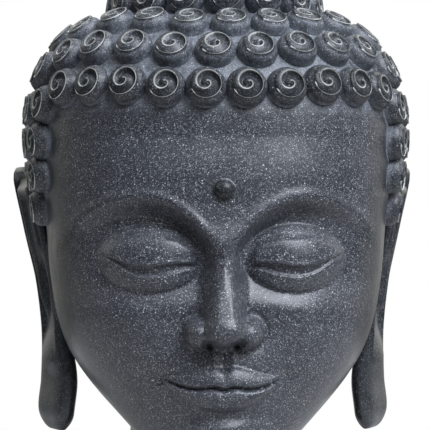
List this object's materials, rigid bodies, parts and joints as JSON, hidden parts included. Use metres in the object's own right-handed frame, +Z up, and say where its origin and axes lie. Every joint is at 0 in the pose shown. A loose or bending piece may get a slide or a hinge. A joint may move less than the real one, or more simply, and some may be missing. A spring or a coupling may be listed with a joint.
{
  "type": "buddha head sculpture",
  "caption": "Dark stone Buddha head with a calm face, lowered lids, snail-shell curls, raised crown and long ears, cut flat at the neck to stand",
  "frame": {"origin": "middle of the flat underside of the neck", "axes": "+Z up through the crown, the face looks along -Y, the ears are at -X and +X"},
  "size_m": [0.2432, 0.2519, 0.38],
  "materials": {
    "stone": "matt charcoal cast stone with fine pale speckles and a pale wash left in the curls"
  },
  "bodies": {
    "root": {"buddha_head": "stone"}
  },
  "joints": []
}
